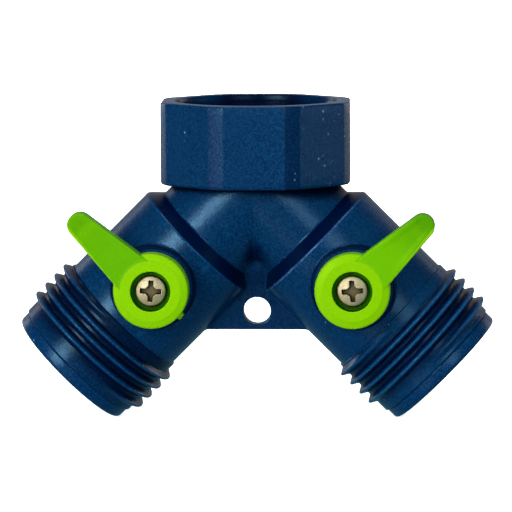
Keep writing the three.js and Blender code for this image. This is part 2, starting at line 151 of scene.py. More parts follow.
def settle(f, V, Q, h, passes, hold):
    A = np.concatenate([Q[:, 0], Q[:, 1], Q[:, 2], Q[:, 3]])
    B = np.concatenate([Q[:, 1], Q[:, 2], Q[:, 3], Q[:, 0]])
    deg = np.bincount(A, minlength=len(V)) + np.bincount(B, minlength=len(V))
    for k in range(passes):
        g = gradient(f, V)
        gg = np.maximum((g * g).sum(1), 0.05)
        V = V - np.clip(f(V) / gg, -h, h)[:, None] * g
        if k == passes - 1:
            break
        nrm = g / np.sqrt(gg)[:, None]
        avg = np.stack(
            [
                np.bincount(A, V[B, i], minlength=len(V)) + np.bincount(B, V[A, i], minlength=len(V))
                for i in range(3)
            ],
            1,
        ) / deg[:, None]
        d = avg - V
        d -= (d * nrm).sum(1)[:, None] * nrm
        V = V + 0.5 * d
    for _ in range(2):
        g = gradient(f, V)
        gg = np.maximum((g * g).sum(1), 0.05)
        V = V - np.clip(f(V) / gg, -h, h)[:, None] * g
    return V, Q


# --------------------------------------------------------- building meshes
def raw_mesh(name, V, faces):
    me = bpy.data.meshes.new(name)
    V = np.asarray(V, float)
    if isinstance(faces, np.ndarray):
        k = faces.shape[1]
        me.vertices.add(len(V))
        me.vertices.foreach_set("co", (V).astype(np.float32).ravel())
        me.loops.add(faces.size)
        me.loops.foreach_set("vertex_index", faces.astype(np.int32).ravel())
        me.polygons.add(len(faces))
        me.polygons.foreach_set("loop_start", np.arange(0, faces.size, k, dtype=np.int32))
        me.polygons.foreach_set("loop_total", np.full(len(faces), k, np.int32))
        me.update(calc_edges=True)
    else:
        me.from_pydata(V.tolist(), [], faces)
        me.update()
    return me


def to_frame(me, matrix=None):
    """Millimetres about the crossing point -> metres in the row's frame."""
    m = Matrix.Translation((0, 0, OZ / 1000)) @ Matrix.Scale(0.001, 4)
    me.transform(m @ matrix if matrix is not None else m)


def shade(me, f=None, matrix=None, crease=48.0, angle=None):
    """Smooth shading. With f, normals come from the distance field, except
    where a face turns away from it at an edge."""
    me.polygons.foreach_set("use_smooth", np.ones(len(me.polygons), bool))
    if angle is not None:
        me.set_sharp_from_angle(angle=math.radians(angle))
    if f is None:
        me.update()
        return
    V = np.empty(len(me.vertices) * 3, np.float32)
    me.vertices.foreach_get("co", V)
    V = V.reshape(-1, 3).astype(float)
    g = gradient(f, V, 0.03)
    g /= np.maximum(np.linalg.norm(g, axis=1), 1e-9)[:, None]
    nl = len(me.loops)
    li = np.empty(nl, np.int32)
    me.loops.foreach_get("vertex_index", li)
    npoly = len(me.polygons)
    fn = np.empty(npoly * 3, np.float32)
    me.polygons.foreach_get("normal", fn)
    fn = fn.reshape(-1, 3)
    tot = np.empty(npoly, np.int32)
    me.polygons.foreach_get("loop_total", tot)
    fi = np.repeat(np.arange(npoly), tot)
    N = g[li]
    F = fn[fi]
    bad = (N * F).sum(1) < math.cos(math.radians(crease))
    N[bad] = F[bad]
    me.normals_split_custom_set(N.astype(np.float32))


def piece(name, me, mat, body, replaces=None):
    o = bpy.data.objects.new(name, me)
    bpy.context.scene.collection.objects.link(o)
    me.materials.clear()
    me.materials.append(mat)
    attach(o, body)
    if replaces:
        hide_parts(replaces)
    return o


def revolve(profile, n, matrix=None):
    """Closed ring profile [(r, h)] -> closed quad mesh about +Z."""
    P = np.array(profile, float)
    area = 0.5 * np.sum(P[:, 0] * np.roll(P[:, 1], -1) - np.roll(P[:, 0], -1) * P[:, 1])
    if area < 0:
        P = P[::-1]
    m = len(P)
    t = np.arange(n) * 2 * math.pi / n
    V = np.stack(
        [
            (P[None, :, 0] * np.cos(t)[:, None]).ravel(),
            (P[None, :, 0] * np.sin(t)[:, None]).ravel(),
            np.tile(P[:, 1], n),
        ],
        1,
    )
    i, j = np.meshgrid(np.arange(n), np.arange(m), indexing="ij")
    i2, j2 = (i + 1) % n, (j + 1) % m
    Q = np.stack([i * m + j, i2 * m + j, i2 * m + j2, i * m + j2], -1).reshape(-1, 4)
    return V, Q


def filleted(points, seg=5):
    """[(r, h, radius)] -> profile with each corner rounded by its radius."""
    P = [np.array(p[:2], float) for p in points]
    out = []
    for i, (_, _, rad) in enumerate(points):
        p, a, b = P[i], P[i - 1], P[(i + 1) % len(P)]
        if rad <= 0:
            out.append(tuple(p))
            continue
        u, v = (a - p), (b - p)
        lu, lv = np.linalg.norm(u), np.linalg.norm(v)
        u, v = u / lu, v / lv
        half = math.acos(max(-1, min(1, float(u @ v)))) / 2
        cut = min(rad / math.tan(half), 0.45 * lu, 0.45 * lv)
        rad = cut * math.tan(half)
        mid = (u + v) / np.linalg.norm(u + v)
        c = p + mid * rad / math.sin(half)
        s, e = p + u * cut - c, p + v * cut - c
        a0, a1 = math.atan2(s[1], s[0]), math.atan2(e[1], e[0])
        d = (a1 - a0 + math.pi) % (2 * math.pi) - math.pi
        for k in range(seg + 1):
            t = a0 + d * k / seg
            out.append((c[0] + rad * math.cos(t), c[1] + rad * math.sin(t)))
    return out


def spread(profile, step):
    """Adds points so that no side is longer than step."""
    out = []
    for i, p in enumerate(profile):
        q = profile[(i + 1) % len(profile)]
        n = max(1, int(math.ceil(math.dist(p, q) / step)))
        out += [(p[0] + (q[0] - p[0]) * k / n, p[1] + (q[1] - p[1]) * k / n) for k in range(n)]
    return out


LEG = {  # leg frame (+Z out along the outlet) -> crossing frame
    s: Matrix.Rotation(math.radians(135 * sg), 4, "Y") for s, sg in (("left", -1), ("right", 1))
}
VALVE = {  # valve frame (+X along the shut blade, +Z out of the front)
    s: LEG[s] @ Matrix.Translation((0, 0, VALVE_A)) @ Matrix.Rotation(math.pi / 2, 4, "X") @ Matrix.Rotation(turn, 4, "Z")
    for s, turn in (("left", math.radians(1.7)), ("right", math.pi - math.radians(2.0)))
}


# --------------------------------------------------------------- the body
def leg_field(a, e, y):
    rho = np.sqrt(e * e + y * y)
    cone = (rho - NECK_R - (a - CONE_A)) / S2
    barrel = smax(rho - BARREL_R, cone, 0.16)
    return smin(rho - NECK_R, barrel, 0.16), rho


def body_field(P):
    x, y, z = np.abs(P[:, 0]), P[:, 1], P[:, 2]
    a, e = (x - z) / S2, (x + z) / S2
    near, rho = leg_field(a, e, y)
    far, _ = leg_field((-x - z) / S2, (-x + z) / S2, y)
    t = np.clip((-z - 8.0) / 5.0, 0, 1)
    d = smin(near, far, 0.15 + 0.75 * t * t * (3 - 2 * t))
    d = np.where(x > 16, near, d)
    # web, with a soft pad where it runs up into the crotch
    web = smax(np.abs(y) - WEB_HALF_T, np.maximum(WEB_EDGE - z, np.maximum(z + 12.0, x - 14.0)), 0.25)
    d = smin(d, web, 0.3)
    drop = np.clip((z + 19.2) / 5.2, 0, 1)
    thick = 1.35 + 1.75 * drop * drop * (3 - 2 * drop)
    pad = smax(np.abs(P[:, 0] - 0.5) - 2.58, np.abs(y) - thick, 1.1)
    pad = smax(pad, z + 12.9, 1.6)
    pad = np.maximum(pad, -20.5 - z)
    d = smin(d, pad, 0.7)
    # thread shank, kept a little under the thread sleeve that joins it
    shank = smax(rho - 11.95, SHANK_A + 0.4 - a, 0.1)
    d = smin(d, shank, 0.1)
    d = smax(d, a - (BODY_END - 0.12), 0.1)
    d = smax(d, z - SHELF_Z, 0.35)
    # valve boss
    q = np.sqrt((a - VALVE_A) ** 2 + e * e)
    boss = smax(q - BOSS_R - 0.05 * np.clip(y + 12.0, -1.6, 4.0), -y - BOSS_FACE, 0.35)
    boss = np.maximum(boss, y + 4.0)
    d = smin(d, boss, 0.25)
    psi = np.arctan2(e, a - VALVE_A)
    mid = math.radians(-57.5)
    swing = (np.abs(psi - mid) - math.radians(67.5)) * q
    notch = smax(smax(5.7 - q, (BOSS_FACE - 1.3) + y, 0.15), swing, 0.2)
    d = smax(d, -notch, 0.2)
    # hang hole
    d = smax(d, HOLE_R - 0.04 - np.sqrt((P[:, 0] - 0.1) ** 2 + (z - HOLE_Z) ** 2), 0.22)
    # water ways
    ri = np.sqrt(x * x + y * y)
    cav = np.minimum(np.maximum(ri - 6.0, -10.0 - z), np.maximum(ri - 7.5, -4.2 - z))
    cav = smin(cav, np.maximum(rho - 5.2, np.maximum(8.3 - a, a - 16)), 0.3)
    cav = np.minimum(cav, np.maximum(rho - 9.6, 15.4 - a))
    cav = np.minimum(cav, np.maximum(q - 3.5, np.maximum(y, -y - 16)))
    return smax(d, -cav, 0.25)


def thread_radius(theta, a, a0, t0, turns):
    """Outer radius of the threaded end. theta is about +Z of the leg."""
    t = np.round((a - a0) / PITCH - (theta - t0)) + (theta - t0)
    away = np.abs(a - a0 - PITCH * t)
    k = np.clip(np.minimum(t, turns - t) / 0.17 + 0.02, 0, 1)
    k = k * k * (3 - 2 * k)
    u = np.clip((0.86 - away) / 0.74, 0, 1)
    u = 0.7 * u + 0.3 * u * u * (3 - 2 * u)
    return SHANK_R + (CREST_R - SHANK_R) * u * k


def thread_sleeve(a0, turns=4.0, t0=0.75, n=256, step=0.13):
    """Closed ring: threaded outside, plain inside, about +Z."""
    outer = [(11.35, SHANK_A), (11.8, SHANK_A), (11.93, SHANK_A + 0.02), (SHANK_R - 0.03, SHANK_A + 0.09)]
    m = int(round((BODY_END - 0.35 - (SHANK_A + 0.2)) / step))
    line = SHANK_A + 0.2 + (BODY_END - 0.35 - SHANK_A - 0.2) * np.arange(m + 1) / m
    tail = [(SHANK_R - 0.01, BODY_END - 0.2), (SHANK_R - 0.07, BODY_END - 0.06), (SHANK_R - 0.2, BODY_END), (10.6, BODY_END), (10.6, 40.0), (10.6, 36.0)]
    theta = np.arange(n) / n
    R = thread_radius(theta[:, None], line[None, :], a0, t0, turns)
    rows = np.concatenate(
        [
            np.tile([p[0] for p in outer], (n, 1)),
            R,
            np.tile([p[0] for p in tail], (n, 1)),
        ],
        1,
    )
    A = np.concatenate([[p[1] for p in outer], line, [p[1] for p in tail]])
    m = rows.shape[1]
    ang = theta * 2 * math.pi
    V = np.stack([rows * np.cos(ang)[:, None], rows * np.sin(ang)[:, None], np.tile(A, (n, 1))], -1).reshape(-1, 3)
    i, j = np.meshgrid(np.arange(n), np.arange(m), indexing="ij")
    i2, j2 = (i + 1) % n, (j + 1) % m
    Q = np.stack([i * m + j, i2 * m + j, i2 * m + j2, i * m + j2], -1).reshape(-1, 4)
    return V, Q


THREAD_A0 = {"left": 32.85, "right": 32.99}


def sleeve_height(P, side, a0):
    """About 0 on the threaded surface: for its normals."""
    s = -1 if side == "left" else 1
    x, y, z = s * P[:, 0], P[:, 1], P[:, 2]
    a, e = (x - z) / S2, (x + z) / S2
    lx = e if side == "left" else -e  # leg frame X
    th = (np.arctan2(y, lx) / (2 * math.pi)) % 1.0
    return np.sqrt(e * e + y * y) - thread_radius(th, a, a0, 0.75, 4.0)


def shaded_body_field(P):
    """The body's own field, with the threads where the sleeves are."""
    d = body_field(P)
    x, z = P[:, 0], P[:, 2]
    a = (np.abs(x) - z) / S2
    e = (np.abs(x) + z) / S2
    rho = np.sqrt(e * e + P[:, 1] ** 2)
    zone = (a > SHANK_A + 0.12) & (a < BODY_END - 0.25) & (rho > 11.3)
    if zone.any():
        left = zone & (x < 0)
        right = zone & (x >= 0)
        for m, side in ((left, "left"), (right, "right")):
            if m.any():
                d[m] = sleeve_height(P[m], side, THREAD_A0[side])
    return d


def apply_modifiers(o):
    dg = bpy.context.evaluated_depsgraph_get()
    me = bpy.data.meshes.new_from_object(o.evaluated_get(dg), depsgraph=dg)
    bpy.data.objects.remove(o)
    return me


def scratch(name, me):
    o = bpy.data.objects.new(name, me)
    bpy.context.scene.collection.objects.link(o)
    return o


def build_body():
    h = 0.30
    V, Q = nets(body_field, (-42.6, -15.0, -41.4), (42.6, 13.2, 0.6), h)
    core = scratch("core", raw_mesh("core", V, Q))
    thin = core.modifiers.new("thin", "DECIMATE")
    thin.ratio = 0.45
    me = apply_modifiers(core)
    core = scratch("core", me)
    tools = []
    for side in ("left", "right"):
        V, Q = thread_sleeve(THREAD_A0[side], n=256)
        sm = raw_mesh("sleeve_" + side, V, Q)
        sm.transform(LEG[side])
        t = scratch("sleeve_" + side, sm)
        tools.append(t)
        b = core.modifiers.new(side, "BOOLEAN")
        b.operation, b.solver, b.object = "UNION", "MANIFOLD", t
    me = apply_modifiers(core)
    for t in tools:
        bpy.data.objects.remove(t)
    me.name = "manifold_body_mesh"
    shade(me, shaded_body_field, crease=50)
    to_frame(me)
    return me


# ---------------------------------------------------------------- the nut
def build_nut(turn=1.5):
    n = 720
    base = np.arange(n) / n * 2 * math.pi
    # points evenly spaced; the shift towards the sixteen facet edges is scaled to nothing
    th = base - 0.028 * np.sin(8 * base) * 0.0
    flat = 16.0 / np.cos((th + math.pi / 8) % (math.pi / 4) - math.pi / 8)
    R = smin(flat, np.full_like(flat, 16.80), 0.06)
    z0, z1 = -0.1, 13.88
    # outer wall as (inset, z), from the lip hole's bottom edge outwards
    rb, rt = 0.7, 0.4
    prof = []  # (kind, inset or radius, z)
    prof.append(("r", 7.75, 1.4))
    prof.append(("r", 7.75, 0.35))
    for k in range(5):
        t = k / 4 * math.pi / 2
        prof.append(("r", 7.75 + 0.35 * (1 - math.cos(t)), z0 + 0.35 * (1 - math.sin(t))))
    prof += [("r", r, z0) for r in (10.0, 12.0, 14.0)]
    for k in range(8):
        t = k / 7 * math.pi / 2
        prof.append(("o", rb * (1 - math.sin(t)), z0 + rb * (1 - math.cos(t))))
    for z in np.linspace(z0 + rb, z1 - rt, 10)[1:-1]:
        prof.append(("o", 0.0, z))
    for k in range(7):
        t = k / 6 * math.pi / 2
        prof.append(("o", rt * (1 - math.cos(t)), z1 - rt + rt * math.sin(t)))
    prof.append(("r", 14.25, z1))
    for k in range(5):
        t = k / 4 * math.pi / 2
        prof.append(("r", 13.95 - 0.25 * math.sin(t), z1 - 0.25 + 0.25 * math.cos(t)))
    lead = np.linspace(z1 - 0.35, z1 - 0.75, 3)
    for z in lead:
        prof.append(("r", 13.6 + (z - (z1 - 0.8)) / 0.55 * 0.1, z))
    for z in np.arange(z1 - 0.9, 6.6, -0.14):
        prof.append(("t", 13.6, z))
    for z in (5.4, 4.0, 3.0):
        prof.append(("r", 13.6, z))
    for k in range(5):
        t = k / 4 * math.pi / 2
        prof.append(("r", 13.3 + 0.3 * math.cos(t), 2.5 - 0.3 * math.sin(t)))
    prof += [("r", 11.5, 2.2), ("r", 9.5, 2.2), ("r", 7.95, 2.2), ("r", 7.8, 2.15), ("r", 7.75, 2.0)]
    rows = np.empty((n, len(prof)))
    for j, (kind, v, z) in enumerate(prof):
        if kind == "r":
            rows[:, j] = v
        elif kind == "o":
            rows[:, j] = R - v
        else:
            frac = (th / (2 * math.pi)) % 1.0
            t = np.round((z - 7.9) / PITCH - frac) + frac
            away = abs(z - 7.9 - PITCH * t)
            k = np.clip(np.minimum(t, 2.1 - t) / 0.17 + 0.02, 0, 1)
            k = k * k * (3 - 2 * k)
            u = np.clip((0.9 - away) / 0.62, 0, 1)
            u = 0.45 * u + 0.55 * u * u * (3 - 2 * u)
            rows[:, j] = v - 1.05 * u * k
    Z = np.array([p[2] for p in prof])
    ang = th + math.radians(turn)
    V = np.stack([rows * np.cos(ang)[:, None], rows * np.sin(ang)[:, None], np.tile(Z, (n, 1))], -1).reshape(-1, 3)
    m = len(prof)
    i, j = np.meshgrid(np.arange(n), np.arange(m), indexing="ij")
    i2, j2 = (i + 1) % n, (j + 1) % m
    Q = np.stack([i * m + j, i2 * m + j, i2 * m + j2, i * m + j2], -1).reshape(-1, 4)
    me = raw_mesh("swivel_nut_mesh", V, Q)
    shade(me)
    to_frame(me)
    return me


# -------------------------------------------------------------- the lever
def lever_field(P, nib_out=6.9, x1=16.2):
    x, y, z = P[:, 0], P[:, 1], P[:, 2]
    r = np.sqrt(x * x + y * y)
    ay = np.abs(y)
    # hub: flat ring round the recess, sloping a little outside it
    out = np.clip((r - 5.0) / 1.3, 0, 1)
    top = 18.0 - 0.42 * out
    hub = smax(r - 6.3, smax(z - top, 13.95 - z, 0.1), 0.38)
    # blade: hull of two circles
    x0, r0, r1 = 1.0, 3.75, 2.05
    s = (r0 - r1) / (x1 - x0)
    c = math.sqrt(1 - s * s)
    along = (x - x0) * c - ay * s
    side = ay * c + (x - x0) * s - r0
    tip = np.sqrt((x - x1) ** 2 + y * y) - r1
    root = np.sqrt((x - x0) ** 2 + y * y) - r0
    edge = np.where(along < 0, root, np.where(along > (x1 - x0) * c, tip, side))
    # its top rises slowly towards the tip and is dished between its rims
    rise = 17.92 + 0.13 * np.clip((x - 7.0) / 9.0, 0, 1)
    inner = np.clip((-edge - 0.5) / 1.0, 0, 1)
    inner = inner * inner * (3 - 2 * inner)
    start = np.clip((x - 7.0) / 3.0, 0, 1) * np.clip((17.0 - x) / 1.2, 0, 1)
    ztop = rise - 0.12 * inner * start
    blade = smax(edge, smax(z - ztop, 14.5 - z, 0.1), 0.34)
    d = smin(hub, blade, 0.16)
    # stop nib under the skirt, opposite the blade
    half = (nib_out - 5.8) / 2
    nib = np.maximum(np.abs(x + nib_out - half) - half, np.maximum(ay - 0.62, np.abs(z - 14.1) - 0.85))
    d = smin(d, nib + 0.05, 0.22)
    # screw recess, its floor pierced for the screw, and square socket below
    d = smax(d, -np.maximum(r - 3.35, 16.0 - z), 0.16)
    d = smax(d, 1.5 - r, 0.1)
    sq = np.maximum(np.abs(x), ay) - 2.1
    return smax(d, -np.maximum(sq, z - 15.25), 0.12)


def build_lever(f):
    h = 0.15
    V, Q = nets(f, (-7.4, -6.9, 12.7), (18.9, 6.9, 18.6), h, passes=4)
    return V, Q


# -------------------------------------------------------------- the screw
def screw_field(P):
    x, y, z = P[:, 0], P[:, 1], P[:, 2]
    r = np.sqrt(x * x + y * y)
    # pan head: steep side into a shallow dome
    dome = np.sqrt(r * r + (z - 11.75) ** 2) - 5.75
    head = smax(smax(r - 2.62, dome, 0.28), 16.0 - z, 0.12)
    shank = smax(r - 1.2, np.maximum(9.5 - z, z - 16.4), 0.3)
    # simple coarse screw thread on the shank
    th = np.arctan2(y, x) / (2 * math.pi)
    ph = ((z / 1.1 - th) % 1.0) - 0.5
    rib = 0.13 * np.maximum(0, 1 - np.abs(ph) / 0.22)
    shank = np.where(z < 15.0, shank * 0.8 + (0.07 - rib) * 0.8, shank)
    d = smin(head, shank, 0.15)
    # cross recess: tapering wings round a cone
    deep = 17.5 - z
    lean = 0.10 * deep
    w1 = np.maximum(np.abs(x) - (1.80 - 1.0 * lean), np.abs(y) - (0.42 - 0.3 * lean))
    w2 = np.maximum(np.abs(y) - (1.80 - 1.0 * lean), np.abs(x) - (0.42 - 0.3 * lean))
    cross = smin(w1, w2, 0.12)
    # flats between the wings
    core = (np.abs(x) + np.abs(y)) / S2 - (0.90 - 0.12 * deep)
    cross = smin(cross, core, 0.2)
    cross = smax(cross, 16.55 - z, 0.12)
    return smax(d, -cross, 0.06)


def build_screw():
    h = 0.075
    return nets(screw_field, (-2.9, -2.9, 9.2), (2.9, 2.9, 17.8), h, passes=3)


# ---------------------------------------------------- hidden valve pieces
def ball_field(P):
    x, y, z = P[:, 0], P[:, 1], P[:, 2]
    d = np.sqrt(x * x + y * y + z * z) - 7.6
    d = smax(d, 4.6 - np.sqrt(y * y + z * z), 0.5)
    slot = np.maximum(np.abs(x) - 1.0, np.maximum(np.abs(y) - 3.5, 5.9 - z))
    return smax(d, -slot, 0.2)


def stem_field(P):
    x, y, z = P[:, 0], P[:, 1], P[:, 2]
    r = np.sqrt(x * x + y * y)
    shaft = smax(r - 3.2, np.maximum(7.8 - z, z - 13.9), 0.25)
    groove = np.maximum(2.4 - r, np.abs(z - 11.1) - 0.7)
    shaft = smax(shaft, -groove, 0.12)
    flange = smax(r - 3.9, np.maximum(7.7 - z, z - 8.4), 0.15)
    square = smax(np.maximum(np.abs(x), np.abs(y)) - 2.0, np.maximum(13.0 - z, z - 15.1), 0.25)
    tang = smax(np.maximum(np.abs(x) - 0.85, np.abs(y) - 3.0), np.maximum(6.2 - z, z - 8.0), 0.25)
    d = smin(smin(shaft, flange, 0.1), smin(square, tang, 0.1), 0.1)
    return smax(d, -np.maximum(r - 1.42, 9.2 - z), 0.1)


def lathe_piece(points, n, matrix=None, step=1.2, name="turned"):
    V, Q = revolve(spread(filleted(points), step), n)
    me = raw_mesh(name, V, Q)
    if matrix is not None:
        me.transform(matrix)
    shade(me, angle=38)
    to_frame(me)
    return me


def ring_mesh(R, r, zc, n, matrix=None, name="ring"):
    prof = [(R + r * math.cos(t), zc + r * math.sin(t)) for t in np.arange(18) / 18 * 2 * math.pi]
    V, Q = revolve(prof, n)
    me = raw_mesh(name, V, Q)
    if matrix is not None:
        me.transform(matrix)
    shade(me)
    to_frame(me)
    return me


def field_mesh(name, V, Q, f, matrix=None):
    me = raw_mesh(name, V, Q)
    shade(me, f, crease=55)
    if matrix is not None:
        # rotate the custom normals with the mesh
        me.transform(matrix)
    to_frame(me)
    return me


# -------------------------------------------------------------- materials
def lin(r, g, b):
    return tuple((c / 255 / 12.92) if c / 255 <= 0.04045 else ((c / 255 + 0.055) / 1.055) ** 2.4 for c in (r, g, b)) + (1.0,)


class Graph:
    def __init__(self, name):
        self.mat = bpy.data.materials.new(name)
        self.mat.use_nodes = True
        self.nt = self.mat.node_tree
        self.nt.nodes.clear()
        self.out = self.add("ShaderNodeOutputMaterial")
        self.bsdf = self.add("ShaderNodeBsdfPrincipled")
        self.nt.links.new(self.bsdf.outputs[0], self.out.inputs[0])
        self.coord = self.add("ShaderNodeTexCoord").outputs["Object"]

    def add(self, kind, **props):
        n = self.nt.nodes.new(kind)
        for k, v in props.items():
            setattr(n, k, v)
        return n

    def link(self, a, b):
        self.nt.links.new(a, b)

    def put(self, socket, value):
        if isinstance(value, bpy.types.NodeSocket):
            self.link(value, socket)
        else:
            socket.default_value = value

    def noise(self, scale, detail=3.0, rough=0.55, stretch=None):
        v = self.coord
        if stretch:
            m = self.add("ShaderNodeMapping")
            m.inputs["Scale"].default_value = stretch
            self.link(v, m.inputs["Vector"])
            v = m.outputs[0]
        n = self.add("ShaderNodeTexNoise")
        n.inputs["Scale"].default_value = scale
        n.inputs["Detail"].default_value = detail
        n.inputs["Roughness"].default_value = rough
        self.link(v, n.inputs["Vector"])
        return n.outputs[0]

    def cells(self, scale, seed_shift=0.0):
        m = self.add("ShaderNodeMapping")
        m.inputs["Location"].default_value = (seed_shift, seed_shift * 1.7, -seed_shift)
        self.link(self.coord, m.inputs["Vector"])
        n = self.add("ShaderNodeTexVoronoi")
        n.inputs["Scale"].default_value = scale
        self.link(m.outputs[0], n.inputs["Vector"])
        return n.outputs["Distance"], n.outputs["Color"]

    def math(self, op, a, b=None, clamp=False):
        n = self.add("ShaderNodeMath", operation=op)
        n.use_clamp = clamp
        self.put(n.inputs[0], a)
        if b is not None:
            self.put(n.inputs[1], b)
        return n.outputs[0]

    def span(self, v, a, b, c=0.0, d=1.0, smooth=False):
        n = self.add("ShaderNodeMapRange")
        if smooth:
            n.interpolation_type = "SMOOTHSTEP"
        self.put(n.inputs["Value"], v)
        for k, x in (("From Min", a), ("From Max", b), ("To Min", c), ("To Max", d)):
            n.inputs[k].default_value = x
        return n.outputs[0]

    def mix(self, fac, a, b, kind="MIX"):
        n = self.add("ShaderNodeMix", data_type="RGBA", blend_type=kind)
        self.put(n.inputs[0], fac)
        self.put(n.inputs[6], a)
        self.put(n.inputs[7], b)
        return n.outputs[2]

    def bump(self, layers):
        normal = None
        for height, strength, dist in layers:
            n = self.add("ShaderNodeBump")
            n.inputs["Strength"].default_value = strength
            n.inputs["Distance"].default_value = dist
            self.link(height, n.inputs["Height"])
            if normal is not None:
                self.link(normal, n.inputs["Normal"])
            normal = n.outputs[0]
        self.link(normal, self.bsdf.inputs["Normal"])

    def pointy(self):
        return self.add("ShaderNodeNewGeometry").outputs["Pointiness"]


def moulded(name, color, dark, light, rough, grain, speck=0.0, spec=0.5, tint=None, edge=0.5, zones=None):
    """Injection-moulded plastic: spark-eroded grain, slow flow clouding, rubbed edges and a few pale dust specks.
    zones(g) gives a colour factor, which carries painted shade and painted highlights, and how polished the place is."""
    g = Graph(name)
    clouds = g.noise(90.0, 4.0, 0.6)
    fine = g.noise(3300.0, 2.0, 0.6)
    mid = g.noise(1300.0, 3.0, 0.6)
    col = g.mix(g.span(clouds, 0.3, 0.7), dark, color)
    polished = None
    if zones:
        factor, polished, shaded, pale = zones(g)
    seen = g.span(fine, 0.42, 0.80, 0.0, grain)
    if polished is not None:
        seen = g.math("MULTIPLY", seen, g.math("SUBTRACT", 1.0, polished))
    col = g.mix(seen, col, light)
    if speck:
        for scale, shift, rare, size in ((640.0, 0.3, 0.985, 0.16), (1500.0, 1.9, 0.990, 0.22)):
            d, c = g.cells(scale, shift)
            sep = g.add("ShaderNodeSeparateColor")
            g.link(c, sep.inputs[0])
            keep = g.math("GREATER_THAN", sep.outputs[0], rare)
            near = g.math("LESS_THAN", d, g.span(sep.outputs[1], 0, 1, 0.05, size))
            hit = g.math("MULTIPLY", g.math("MULTIPLY", keep, near), g.span(sep.outputs[2], 0, 1, 0.2 * speck, speck))
            col = g.mix(hit, col, (0.30, 0.45, 0.60, 1))
    rub = g.span(g.pointy(), 0.515, 0.60, 0.0, edge, smooth=True)
    rub = g.math("MULTIPLY", rub, g.span(mid, 0.35, 0.65, 0.4, 1.0))
    col = g.mix(rub, col, light)
    if zones:
        # the zones' colour factor: painted shade and painted highlights by place
        col = g.mix(1.0, col, factor, kind="MULTIPLY")
        if pale is not None:
            col = g.mix(pale, col, (0.22, 0.34, 0.46, 1))
    g.link(col, g.bsdf.inputs["Base Color"])
    r = g.math("ADD", g.span(mid, 0.3, 0.7, rough - 0.05, rough + 0.05), g.span(clouds, 0.3, 0.7, -0.03, 0.03))
    g.link(r, g.bsdf.inputs["Roughness"])
    g.bsdf.inputs["Specular IOR Level"].default_value = spec
    if zones:
        g.link(g.math("MULTIPLY", g.math("SUBTRACT", 1.0, g.math("MULTIPLY", shaded, 0.85)), spec), g.bsdf.inputs["Specular IOR Level"])
    if tint:
        g.bsdf.inputs["Specular Tint"].default_value = tint
    g.bump([(clouds, 0.08, 0.0004), (mid, 0.12, 0.00004), (fine, 0.7, 0.00003)])
    return g.mat


def leg_place(g):
    """Nodes for the place along and round the outlets, in millimetres."""
    sep = g.add("ShaderNodeSeparateXYZ")
    g.link(g.coord, sep.inputs[0])
    x = g.math("MULTIPLY", g.math("ABSOLUTE", sep.outputs["X"]), 1000.0)
    y = g.math("MULTIPLY", sep.outputs["Y"], 1000.0)
    z = g.math("SUBTRACT", g.math("MULTIPLY", sep.outputs["Z"], 1000.0), OZ)
    a = g.math("DIVIDE", g.math("SUBTRACT", x, z), S2)
    e = g.math("DIVIDE", g.math("ADD", x, z), S2)
    return a, e, y


def reach(g, u, v):
    return g.math("SQRT", g.math("ADD", g.math("MULTIPLY", u, u), g.math("MULTIPLY", v, v)))


def tone(g, m, factor):
    """White away from the place m, the factor on it."""
    return g.mix(m, (1, 1, 1, 1), factor + (1,))


def both(g, *ms):
    out = ms[0]
    for m in ms[1:]:
        out = g.math("MULTIPLY", out, m)
    return out


